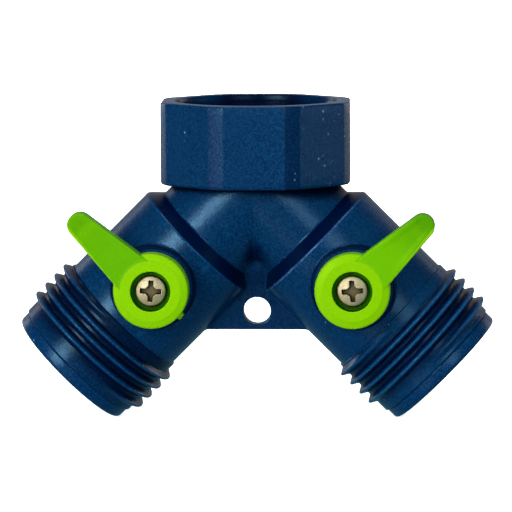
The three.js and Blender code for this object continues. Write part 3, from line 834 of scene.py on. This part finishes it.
def body_zones(g):
    """Painted shade on the bevels, the boss sides, the web, the pad, the pocket between the necks, under the nut and in
    the thread roots; painted highlights along the barrel rims and on the thread crests. The bevels and boss sides are
    also polished, without grain."""
    a, e, y = leg_place(g)
    sep = g.add("ShaderNodeSeparateXYZ")
    g.link(g.coord, sep.inputs[0])
    x = g.math("MULTIPLY", sep.outputs["X"], 1000.0)
    z = g.math("SUBTRACT", g.math("MULTIPLY", sep.outputs["Z"], 1000.0), OZ)
    ax, ay = g.math("ABSOLUTE", x), g.math("ABSOLUTE", y)
    rho = reach(g, e, y)
    # bevels: painted shade, a darker base colour where the bevel bands fall dark; grain is left off them too
    off = g.math("ABSOLUTE", g.math("SUBTRACT", g.math("SUBTRACT", rho, NECK_R), g.math("SUBTRACT", a, CONE_A)))
    cone = g.span(off, 0.10, 0.26, 1.0, 0.0, smooth=True)
    cone = both(g, cone, g.span(a, CONE_A - 0.02, CONE_A + 0.12), g.span(a, BARREL_A + 0.0, BARREL_A - 0.12), g.span(rho, BARREL_R + 0.1, BARREL_R - 0.02))
    f = tone(g, cone, (0.55, 0.26, 0.44))
    # boss: painted shade on its side and on the ring outside the lever hub
    q = reach(g, g.math("SUBTRACT", a, VALVE_A), e)
    wall = both(g, g.span(q, 6.55, 6.72), g.span(q, BOSS_R + 0.5, BOSS_R + 0.3), g.span(rho, BARREL_R + 0.05, BARREL_R + 0.3), g.span(y, -6.0, -7.0))
    f = g.mix(1.0, f, tone(g, wall, (0.5, 0.34, 0.46)), kind="MULTIPLY")
    # web and pad between the legs: painted shade, a darker base colour low between the legs
    clear = g.math("SUBTRACT", rho, g.math("MINIMUM", g.math("MAXIMUM", g.math("ADD", g.math("SUBTRACT", a, CONE_A), NECK_R), NECK_R), BARREL_R))
    web = both(g, g.span(clear, 0.08, 0.35), g.span(ay, 3.8, 3.5), g.span(z, -11.8, -12.6), g.span(ax, 14.5, 13.5))
    f = g.mix(1.0, f, tone(g, web, (0.5, 0.60, 0.72)), kind="MULTIPLY")
    pad = both(g, g.span(ax, 4.6, 2.4, smooth=True), g.span(z, -12.6, -13.2), g.span(z, -22.5, -18.0, smooth=True))
    f = g.mix(1.0, f, tone(g, pad, (0.6, 0.78, 0.82)), kind="MULTIPLY")
    # painted shade in the pocket where the two necks meet above the pad
    wide = g.span(z, -8.0, -13.0, 0.3, 2.6)
    pocket = both(g, g.span(g.math("DIVIDE", g.math("ABSOLUTE", g.math("ADD", x, 0.1)), wide), 1.35, 0.25, smooth=True), g.span(z, -8.0, -11.4, smooth=True), g.span(z, -13.6, -12.7, smooth=True), g.span(y, -1.0, -2.0))
    f = g.mix(1.0, f, tone(g, pocket, (0.3, 0.22, 0.34)), kind="MULTIPLY")
    # shade under the nut, deeper on the side away from the window
    low_ = g.span(x, -3.0, 11.0, -1.5, -3.1)
    under = g.math("DIVIDE", g.math("SUBTRACT", z, low_), g.math("SUBTRACT", -0.4, low_))
    under = g.span(under, 0.0, 0.75, 0.0, 1.0, smooth=True)
    f = g.mix(1.0, f, tone(g, under, (0.2, 0.13, 0.22)), kind="MULTIPLY")
    # painted shade in the thread roots, eased over the turned relief behind them; painted highlights on the barrel rims
    # and thread crests
    root = both(g, g.span(a, 31.95, 32.15), g.span(a, 42.4, 40.4, 0.35, 1.0), g.span(a, BODY_END + 0.1, BODY_END - 0.1), g.span(rho, CREST_R - 0.12, CREST_R - 0.75, smooth=True))
    # painted highlight: a thin pale line along each barrel rim, much stronger and redder on the right leg
    rim = both(g, g.span(g.math("ABSOLUTE", g.math("SUBTRACT", a, BARREL_A + 0.06)), 0.26, 0.10, smooth=True), g.span(rho, BARREL_R - 0.35, BARREL_R - 0.15), g.span(rho, BARREL_R + 0.3, BARREL_R + 0.1))
    f = g.mix(1.0, f, g.mix(rim, (1, 1, 1, 1), g.mix(g.span(x, -1.0, 1.0), (1.2, 1.5, 1.5, 1), (18.0, 2.6, 2.0, 1))), kind="MULTIPLY")
    # painted highlight along the thread crests
    crest = both(g, g.span(a, 34.0, 34.4), g.span(a, 42.6, 42.2), g.span(rho, CREST_R - 0.22, CREST_R - 0.04))
    f = g.mix(1.0, f, tone(g, crest, (2.0, 1.5, 1.4)), kind="MULTIPLY")
    relief = g.math("MULTIPLY", g.span(a, 34.4, 33.7), g.span(x, -3.0, 3.0, 0.1, 0.7))
    root = g.math("MULTIPLY", root, g.math("SUBTRACT", 1.0, relief))
    f = g.mix(1.0, f, tone(g, root, (0.22, 0.14, 0.25)), kind="MULTIPLY")
    shaded = g.math("MAXIMUM", g.math("MAXIMUM", pocket, under), g.math("MAXIMUM", g.math("MULTIPLY", root, 0.5), wall))
    return f, g.math("MAXIMUM", cone, g.math("MULTIPLY", wall, 0.9)), shaded, None


def nut_zones(g):
    """Inside the socket the moulding is polished, with painted shade; its top rim is painted lighter, with a painted
    highlight along its outer edge; one corner carries painted shade and another a painted reflection; one flat is
    scuffed from handling."""
    sep = g.add("ShaderNodeSeparateXYZ")
    g.link(g.coord, sep.inputs[0])
    x, y, z = (g.math("MULTIPLY", sep.outputs[k], 1000.0) for k in "XYZ")
    rr = reach(g, x, y)
    # painted shade inside the socket, strongest near the middle and low down; grain is left off there too
    m = g.math("MULTIPLY", g.span(rr, 14.10, 13.85), g.span(z, 39.12, 39.00))
    deep = g.math("MAXIMUM", g.span(g.math("ABSOLUTE", x), 9.5, 5.0, 0.35, 1.0, smooth=True), g.span(z, 38.2, 37.4))
    m = g.math("MULTIPLY", m, deep)
    # painted light on the top rim, and a painted highlight along its outer edge
    rim = both(g, g.span(rr, 13.95, 14.15), g.span(z, 38.95, 39.05))
    edge = both(g, rim, g.span(rr, 14.62, 14.40))
    f = tone(g, m, (0.22, 0.12, 0.26))
    f = g.mix(1.0, f, tone(g, rim, (1.2, 1.35, 1.35)), kind="MULTIPLY")
    f = g.mix(1.0, f, tone(g, edge, (5.0, 2.2, 1.7)), kind="MULTIPLY")
    # painted shade on one corner of the octagon and a painted reflection on another, placed by their angle from the
    # rest position
    ang = g.math("ARCTAN2", y, x)
    def corner(deg, half):
        off = g.math("ABSOLUTE", g.math("SUBTRACT", ang, math.radians(deg)))
        return both(g, g.span(off, math.radians(half + 0.35), math.radians(half - 0.25), smooth=True), g.span(rr, 16.0, 16.3))
    f = g.mix(1.0, f, tone(g, corner(-66.0, 4.6), (0.5, 0.52, 0.62)), kind="MULTIPLY")
    f = g.mix(1.0, f, tone(g, corner(-111.0, 4.6), (5.5, 1.0, 1.0)), kind="MULTIPLY")
    d, c = g.cells(1250.0, 4.1)
    pick_ = g.add("ShaderNodeSeparateColor")
    g.link(c, pick_.inputs[0])
    scuff = both(g, g.math("GREATER_THAN", pick_.outputs[0], 0.86), g.math("LESS_THAN", d, g.span(pick_.outputs[1], 0, 1, 0.10, 0.34)), g.span(x, 6.0, 8.0), g.span(z, 26.0, 27.0), g.span(rr, 15.8, 15.9), g.span(g.noise(260.0), 0.44, 0.50))
    scuff = both(g, scuff, g.span(y, -3.0, -5.0), g.span(pick_.outputs[2], 0.0, 1.0, 0.25, 0.9))
    hair = both(g, g.math("LESS_THAN", g.math("ABSOLUTE", g.math("SUBTRACT", g.noise(210.0, 1.0, 0.3), 0.5)), 0.004), g.math("GREATER_THAN", g.noise(330.0, 1.0), 0.60), g.span(x, 7.0, 9.0), g.span(y, -3.0, -5.0), g.span(rr, 15.8, 15.9))
    return f, m, g.math("MULTIPLY", m, 0.8), g.math("MAXIMUM", scuff, g.math("MULTIPLY", hair, 0.35))


def lever_zones(g):
    """Painted shade in the screw recess; the blade is painted darker than the hub, as painted shade, from the bowed
    line where it leaves it, with painted light and shade along it towards the tip."""
    a, e, y = leg_place(g)
    q = reach(g, g.math("SUBTRACT", a, VALVE_A), e)
    perp = g.math("ABSOLUTE", g.math("SUBTRACT", a, VALVE_A))
    wide = g.math("SUBTRACT", g.math("SUBTRACT", 3.95, g.math("MULTIPLY", e, 0.112)), perp)
    within = g.math("MULTIPLY", g.span(wide, -0.05, 0.2, smooth=True), g.span(e, 1.0, 2.0))
    blade = g.math("MULTIPLY", g.span(q, 5.0, 5.3, smooth=True), within)
    seam = g.math("MULTIPLY", g.span(g.math("ABSOLUTE", g.math("SUBTRACT", q, 5.1)), 0.22, 0.0, smooth=True), 1.0)
    tipward = g.span(q, 9.0, 17.0, 0.0, 1.0, smooth=True)
    hole = g.math("MULTIPLY", g.span(q, 3.48, 3.36), g.span(y, -17.95, -17.55))
    # painted shade: the blade darker than the hub
    f = g.mix(blade, (0.94, 0.92, 1, 1), (0.43, 0.66, 1, 1))
    f = g.mix(1.0, f, tone(g, tipward, (1.02, 0.96, 1.0)), kind="MULTIPLY")
    f = g.mix(1.0, f, tone(g, g.math("MULTIPLY", seam, g.mix(within, (0.35, 0.35, 0.35, 1), (1, 1, 1, 1))), (0.84, 0.92, 1.0)), kind="MULTIPLY")
    sep = g.add("ShaderNodeSeparateXYZ")
    g.link(g.coord, sep.inputs[0])
    # painted light and shade on the right blade only: lighter mid-blade, darker at the tip
    one = g.math("MULTIPLY", blade, g.math("GREATER_THAN", sep.outputs["X"], 0.0))
    f = g.mix(1.0, f, g.mix(one, (1, 1, 1, 1), g.mix(tipward, (1.34, 1.15, 1, 1), (0.74, 0.84, 1, 1))), kind="MULTIPLY")
    # painted shade in the screw recess, darker towards its bottom; grain left off there
    lowly = g.span(sep.outputs["Z"], (OZ - 18.0) / 1000, (OZ - 19.6) / 1000)
    # painted highlight in a band near the blade's tip, painted shade at the tip itself
    band = g.math("MULTIPLY", blade, both(g, g.span(q, 13.2, 14.6, smooth=True), g.span(q, 15.8, 15.0, smooth=True)))
    tip = g.math("MULTIPLY", blade, g.span(q, 15.2, 16.0, smooth=True))
    f = g.mix(1.0, f, tone(g, band, (1.16, 1.06, 1.0)), kind="MULTIPLY")
    f = g.mix(1.0, f, tone(g, tip, (0.92, 0.96, 1.0)), kind="MULTIPLY")
    return g.mix(hole, f, g.mix(lowly, (0.07, 0.28, 0.5, 1), (0.045, 0.13, 0.5, 1))), hole, g.math("MULTIPLY", hole, 0.5), None


def rubber(name, color):
    g = Graph(name)
    fine, mid = g.noise(1800.0, 3.0), g.noise(260.0, 4.0)
    col = g.mix(g.span(mid, 0.35, 0.7), color, tuple(min(1, c * 1.9 + 0.006) for c in color[:3]) + (1,))
    g.link(col, g.bsdf.inputs["Base Color"])
    g.link(g.span(fine, 0.3, 0.7, 0.55, 0.75), g.bsdf.inputs["Roughness"])
    g.bump([(mid, 0.15, 0.0002), (fine, 0.4, 0.00004)])
    return g.mat


def screw_steel(name):
    """Nickel-plated steel, turned, with painted shade in its recess and in every hollow."""
    g = Graph(name)
    fine, mid = g.noise(3500.0, 3.0, 0.6), g.noise(900.0, 4.0)
    scratch = g.noise(900.0, 2.0, 0.5, stretch=(1.0, 1.0, 14.0))
    # painted shade: occlusion darkens the base colour in hollows
    ao = g.add("ShaderNodeAmbientOcclusion", samples=8)
    ao.inputs["Distance"].default_value = 0.0013
    shade_ = g.span(ao.outputs["AO"], 0.42, 0.86, 0.0, 1.0, smooth=True)
    bright = g.mix(g.span(mid, 0.35, 0.7), lin(197, 181, 147), lin(176, 158, 116))
    a, e, y = leg_place(g)
    q = reach(g, g.math("SUBTRACT", a, VALVE_A), e)
    dome = g.math("ADD", 11.75, g.math("SQRT", g.math("SUBTRACT", 5.75**2, g.math("MULTIPLY", q, q))))
    depth = g.math("ADD", dome, y)
    # painted shade on the walls and floor of the cross recess
    inside = g.math("MULTIPLY", g.span(depth, 0.06, 0.22), g.span(q, 2.15, 2.0))
    floor_ = g.math("MULTIPLY", inside, g.span(depth, 0.55, 0.72))
    bright = g.mix(inside, bright, lin(70, 54, 34))
    bright = g.mix(floor_, bright, lin(112, 100, 72))
    col = g.mix(shade_, lin(60, 44, 26), bright)
    g.link(col, g.bsdf.inputs["Base Color"])
    g.bsdf.inputs["Metallic"].default_value = 1.0
    r = g.math("ADD", g.span(fine, 0.3, 0.7, 0.54, 0.62), g.span(scratch, 0.55, 0.75, 0.0, 0.12))
    g.link(r, g.bsdf.inputs["Roughness"])
    g.bump([(mid, 0.12, 0.00006), (scratch, 0.15, 0.00002), (fine, 0.2, 0.00001)])
    return g.mat


NAVY = dict(
    color=(0.0003, 0.0162, 0.064, 1), dark=(0.0002, 0.0137, 0.054, 1), light=(0.005, 0.072, 0.17, 1),
    rough=0.27, grain=0.75, speck=0.9, spec=0.30, tint=(0.30, 0.64, 0.90, 1), edge=0.4,
)
COLLAR = dict(color=(0.0003, 0.0155, 0.066, 1), dark=(0.0002, 0.0130, 0.056, 1), light=(0.005, 0.072, 0.17, 1))
BLUE = moulded("moulded_navy_plastic", **{**NAVY, **COLLAR})
BODY_BLUE = moulded("moulded_navy_body", zones=body_zones, **NAVY)
NUT_BLUE = moulded("moulded_navy_nut", zones=nut_zones, **NAVY)
GREEN = moulded(
    "moulded_lime_plastic", (0.238, 0.549, 0.0002, 1), (0.224, 0.528, 0.0002, 1), (0.33, 0.68, 0.0006, 1),
    rough=0.42, grain=0.40, spec=0.22, tint=(0.85, 1.0, 0.10, 1), edge=0.3, zones=lever_zones,
)
WHITE = moulded(
    "moulded_white_plastic", (0.74, 0.73, 0.68, 1), (0.69, 0.68, 0.63, 1), (0.82, 0.81, 0.78, 1),
    rough=0.42, grain=0.2, edge=0.2,
)
ACETAL = moulded(
    "hard_valve_plastic", (0.66, 0.65, 0.60, 1), (0.61, 0.60, 0.55, 1), (0.78, 0.77, 0.73, 1),
    rough=0.28, grain=0.1, edge=0.2,
)
SEAT = moulded(
    "waxy_seat_plastic", (0.80, 0.79, 0.76, 1), (0.76, 0.75, 0.71, 1), (0.88, 0.87, 0.85, 1),
    rough=0.5, grain=0.1, edge=0.1,
)
WASHER = rubber("washer_rubber", (0.030, 0.030, 0.032, 1))
SEAL = rubber("seal_rubber", (0.008, 0.008, 0.009, 1))
STEEL = screw_steel("nickelled_screw_steel")

# --------------------------------------------------------------- assembly
piece("visual_body", build_body(), BODY_BLUE, "splitter_body", "manifold_body")
piece("visual_swivel_nut", build_nut(), NUT_BLUE, "inlet_nut", "swivel_nut")

tail = [
    (6.0, -4.0, 0.25), (7.4, -4.0, 0.3), (7.4, -3.3, 0.06), (6.68, -3.3, 0.1), (6.68, -2.1, 0.1), (7.4, -2.1, 0.06),
    (7.4, 2.5, 0.1), (11.4, 2.5, 0.25), (11.4, 4.3, 0.35), (6.0, 4.3, 0.7),
]
piece("visual_tailpiece", lathe_piece(tail, 128, name="tailpiece_mesh"), WHITE, "splitter_body", "inlet_tailpiece")
wash = [(7.9, 4.35, 0.3), (12.2, 4.35, 0.35), (12.2, 6.85, 0.35), (7.9, 6.85, 0.3)]
piece("visual_washer", lathe_piece(wash, 128, name="washer_mesh"), WASHER, "splitter_body", "inlet_washer")
piece("visual_tail_oring", ring_mesh(7.07, 0.36, -2.7, 96), SEAL, "splitter_body", "tailpiece_oring")

LEVER = {"left": lever_field, "right": lambda P: lever_field(P, 6.3, 15.95)}
screw_V, screw_Q = build_screw()
hq = 0.32
ball_V, ball_Q = nets(ball_field, (-8, -8, -8), (8, 8, 8), hq)
stem_V, stem_Q = nets(stem_field, (-4.2, -4.2, 5.9), (4.2, 4.2, 16.2), 0.17)

retainer = [
    (6.6, 32.25, 0.2), (9.3, 32.25, 0.2), (9.3, 35.2, 0.06), (7.9, 35.2, 0.15), (7.9, 37.0, 0.15), (9.3, 37.0, 0.06),
    (9.3, 43.27, 0.1), (11.74, 43.27, 0.2), (11.74, 45.4, 0.6), (6.6, 45.4, 0.5),
]
seat_arc = [(5.0 + (6.594 - 5.0) * i / 6, math.sqrt(7.9**2 - (5.0 + (6.594 - 5.0) * i / 6) ** 2)) for i in range(7)]

for side in ("left", "right"):
    body = side + "_valve"
    V = VALVE[side]
    piece(f"visual_{side}_lever", field_mesh("lever_mesh", *build_lever(LEVER[side]), LEVER[side], V), GREEN, body, f"{side}_lever")
    spin = Matrix.Rotation(math.radians({"left": 45 - 5, "right": 45 + 6}[side]), 4, "Z")
    piece(f"visual_{side}_screw", field_mesh("screw_mesh", screw_V, screw_Q, screw_field, V @ spin), STEEL, body, f"{side}_lever_screw")
    piece(f"visual_{side}_stem", field_mesh("stem_mesh", stem_V, stem_Q, stem_field, V), ACETAL, body, f"{side}_valve_stem")
    piece(f"visual_{side}_stem_oring", ring_mesh(2.93, 0.5, 11.1, 72, V), SEAL, body, f"{side}_stem_oring")
    piece(f"visual_{side}_ball", field_mesh("ball_mesh", ball_V, ball_Q, ball_field, V), ACETAL, body, f"{side}_valve_ball")
    at = LEG[side] @ Matrix.Translation((0, 0, VALVE_A))
    for label, sg in (("inlet", -1), ("outlet", 1)):
        prof = [(r, sg * h, 0) for r, h in seat_arc] + [(9.3, sg * 4.35, 0.15), (9.3, sg * 8.3, 0.3), (5.0, sg * 8.3, 0.3)]
        piece(f"visual_{side}_{label}_seat", lathe_piece(prof, 96, at, name="seat_mesh"), SEAT, "splitter_body", f"{side}_{label}_ball_seat")
    piece(f"visual_{side}_retainer", lathe_piece(retainer, 160, LEG[side], name="retainer_mesh"), BLUE, "splitter_body", f"{side}_outlet_retainer")
    piece(f"visual_{side}_retainer_oring", ring_mesh(8.74, 0.75, 36.1, 96, LEG[side]), SEAL, "splitter_body", f"{side}_retainer_oring")

# ------------------------------------------------------ floor and lighting
low = min(v[2] for v in (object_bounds()[0],))


FLOOR_FRONT, FLOOR_BACK = 0.30, 0.38


def floor():
    """Pale table. Lenses see it white away from the object, with the soft
    contact shadow close by; other rays meet it darker in front."""
    n = 24
    xs = np.linspace(-3.0, 3.0, n + 1)
    X, Y = np.meshgrid(xs, xs, indexing="ij")
    V = np.stack([X.ravel(), Y.ravel(), np.full(X.size, low)], 1)
    i, j = np.meshgrid(np.arange(n), np.arange(n), indexing="ij")
    Q = np.stack([i * (n + 1) + j, (i + 1) * (n + 1) + j, (i + 1) * (n + 1) + j + 1, i * (n + 1) + j + 1], -1).reshape(-1, 4)
    o = scratch("floor", raw_mesh("floor_mesh", V, Q))
    g = Graph("pale_floor")
    sep = g.add("ShaderNodeSeparateXYZ")
    g.link(g.coord, sep.inputs[0])
    sees = g.add("ShaderNodeLightPath").outputs["Is Camera Ray"]
    unseen = g.math("SUBTRACT", 1.0, sees)
    grain = g.span(g.noise(40.0), 0.3, 0.7, 0.89, 0.92)
    alb = g.math("MULTIPLY", grain, sees)
    col = g.add("ShaderNodeCombineColor")
    for k in range(3):
        g.link(alb, col.inputs[k])
    g.link(col.outputs[0], g.bsdf.inputs["Base Color"])
    g.bsdf.inputs["Roughness"].default_value = 0.9
    g.bsdf.inputs["Specular IOR Level"].default_value = 0.0
    ln = g.add("ShaderNodeVectorMath", operation="LENGTH")
    g.link(g.coord, ln.inputs[0])
    away = g.span(ln.outputs["Value"], 0.015, 0.075, 0.74, 1.6, smooth=True)
    back = g.span(sep.outputs["Y"], -0.05, 0.15, FLOOR_FRONT, FLOOR_BACK, smooth=True)
    g.link(g.mix(sees, g.mix(g.span(sep.outputs["Y"], 0.0, 0.1), (0.22, 0.75, 1.0, 1), (0.9, 0.97, 1.0, 1)), (1, 1, 1, 1)), g.bsdf.inputs["Emission Color"])
    glow = g.math("ADD", g.math("MULTIPLY", sees, away), g.math("MULTIPLY", unseen, back))
    g.link(glow, g.bsdf.inputs["Emission Strength"])
    # the low lamps shine up through it
    clear = g.add("ShaderNodeBsdfTransparent")
    choose = g.add("ShaderNodeMixShader")
    g.link(g.add("ShaderNodeLightPath").outputs["Is Shadow Ray"], choose.inputs[0])
    g.link(g.bsdf.outputs[0], choose.inputs[1])
    g.link(clear.outputs[0], choose.inputs[2])
    g.link(choose.outputs[0], g.out.inputs[0])
    o.data.materials.append(g.mat)
    o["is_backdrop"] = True


floor()
AIM = Vector((0.0, 0.0, 0.013))


def softbox(name, direction, distance, size, power, color=(1, 1, 1)):
    d = Vector(direction).normalized()
    data = bpy.data.lights.new(name, "AREA")
    data.shape, data.size, data.size_y = "RECTANGLE", size[0], size[1]
    data.energy, data.color = power, color
    o = bpy.data.objects.new(name, data)
    o.location = AIM + d * distance
    o.rotation_euler = (-d).to_track_quat("-Z", "Y").to_euler()
    bpy.context.scene.collection.objects.link(o)
    return o


softbox("key_left", (-0.433, -0.861, 0.263), 0.80, (0.26, 0.28), 4.4)
softbox("fill_right", (0.35, -0.88, 0.28), 0.80, (0.30, 0.30), 1.35, (1.0, 0.96, 0.98))
softbox("side_left", (-0.685, -0.716, -0.11), 0.80, (0.14, 0.24), 0.62, (1.0, 0.80, 0.86))
softbox("low_left", (-0.47, -0.69, -0.54), 0.80, (0.30, 0.20), 0.60, (1.0, 0.84, 0.88))
softbox("side_right", (0.99, 0.02, -0.05), 0.80, (0.14, 0.30), 0.28, (1.0, 0.80, 0.78))
softbox("back_right", (0.68, 0.70, 0.12), 0.80, (0.20, 0.55), 0.55, (1.0, 0.88, 0.88))
softbox("back_left", (-0.68, 0.70, 0.12), 0.80, (0.20, 0.55), 0.60, (0.92, 0.95, 1.0))
softbox("low_front", (-0.324, -0.859, -0.394), 0.80, (0.16, 0.16), 0.90, (1.0, 0.90, 0.95))
softbox("top", (-0.05, -0.15, 1.0), 0.80, (0.5, 0.4), 2.0)
# fills the back, and shows in no reflection at the outline
softbox("back", (0.0, 0.98, 0.17), 0.80, (0.5, 0.5), 3.4).visible_glossy = False

world = bpy.data.worlds.new("studio")
bpy.context.scene.world = world
world.use_nodes = True
nt = world.node_tree
nt.nodes.clear()
out = nt.nodes.new("ShaderNodeOutputWorld")
see = nt.nodes.new("ShaderNodeBackground")
see.inputs[0].default_value = (1, 1, 1, 1)
see.inputs[1].default_value = 1.0
glow = nt.nodes.new("ShaderNodeBackground")
glow.inputs[0].default_value = (0.22, 0.75, 1.0, 1)
path = nt.nodes.new("ShaderNodeLightPath")
pick = nt.nodes.new("ShaderNodeMixShader")
tc = nt.nodes.new("ShaderNodeTexCoord")
sep = nt.nodes.new("ShaderNodeSeparateXYZ")
nt.links.new(tc.outputs["Generated"], sep.inputs[0])
rear = nt.nodes.new("ShaderNodeMapRange")
rear.interpolation_type = "SMOOTHSTEP"
nt.links.new(sep.outputs["Y"], rear.inputs["Value"])
for k, v in (("From Min", 0.15), ("From Max", 0.7), ("To Min", 0.0), ("To Max", 1.0)):
    rear.inputs[k].default_value = v
hue = nt.nodes.new("ShaderNodeMix")
hue.data_type = "RGBA"
nt.links.new(rear.outputs[0], hue.inputs[0])
hue.inputs[6].default_value = (0.22, 0.75, 1.0, 1)
hue.inputs[7].default_value = (1, 1, 1, 1)
nt.links.new(hue.outputs[2], glow.inputs[0])
level = None
for axis, lo, hi, top in (("Y", 0.25, -0.45, 0.40), ("X", 0.45, 0.95, 0.22), ("Y", 0.35, 0.95, 0.30)):
    ramp = nt.nodes.new("ShaderNodeMapRange")
    ramp.interpolation_type = "SMOOTHSTEP"
    nt.links.new(sep.outputs[axis], ramp.inputs["Value"])
    for k, v in (("From Min", lo), ("From Max", hi), ("To Min", 0.02), ("To Max", top)):
        ramp.inputs[k].default_value = v
    if level is None:
        level = ramp.outputs[0]
    else:
        add = nt.nodes.new("ShaderNodeMath")
        add.operation = "ADD"
        nt.links.new(level, add.inputs[0])
        nt.links.new(ramp.outputs[0], add.inputs[1])
        level = add.outputs[0]
above = nt.nodes.new("ShaderNodeMapRange")
nt.links.new(sep.outputs["Z"], above.inputs["Value"])
for k, v in (("From Min", -0.03), ("From Max", 0.01), ("To Min", 0.0), ("To Max", 1.0)):
    above.inputs[k].default_value = v
cut = nt.nodes.new("ShaderNodeMath")
cut.operation = "MULTIPLY"
nt.links.new(level, cut.inputs[0])
nt.links.new(above.outputs[0], cut.inputs[1])
nt.links.new(cut.outputs[0], glow.inputs[1])
nt.links.new(path.outputs["Is Camera Ray"], pick.inputs[0])
nt.links.new(glow.outputs[0], pick.inputs[1])
nt.links.new(see.outputs[0], pick.inputs[2])
nt.links.new(pick.outputs[0], out.inputs[0])

# ----------------------------------------------------------------- camera
cam = bpy.data.objects.new("camera", bpy.data.cameras.new("camera"))
cam.data.sensor_width = 36.0
cam.data.lens = 292.8
cam.data.clip_start, cam.data.clip_end = 0.05, 20.0
bpy.context.scene.collection.objects.link(cam)
eye = Vector((0.03724, -0.70376, 0.06408 + OZ / 1000))
aim = Vector((-0.000105, 0.0, -0.012745 + OZ / 1000))
fwd = (aim - eye).normalized()
right = fwd.cross(Vector((0, 0, 1))).normalized()
up = right.cross(fwd)
roll = -0.0053
rx = right * math.cos(roll) + up * math.sin(roll)
ry = up * math.cos(roll) - right * math.sin(roll)
m = Matrix((rx, ry, -fwd)).transposed().to_4x4()
m.translation = eye
cam.matrix_world = m
bpy.context.scene.camera = cam
bpy.context.scene.view_settings.view_transform = "Standard"
bpy.context.scene.view_settings.look = "None"
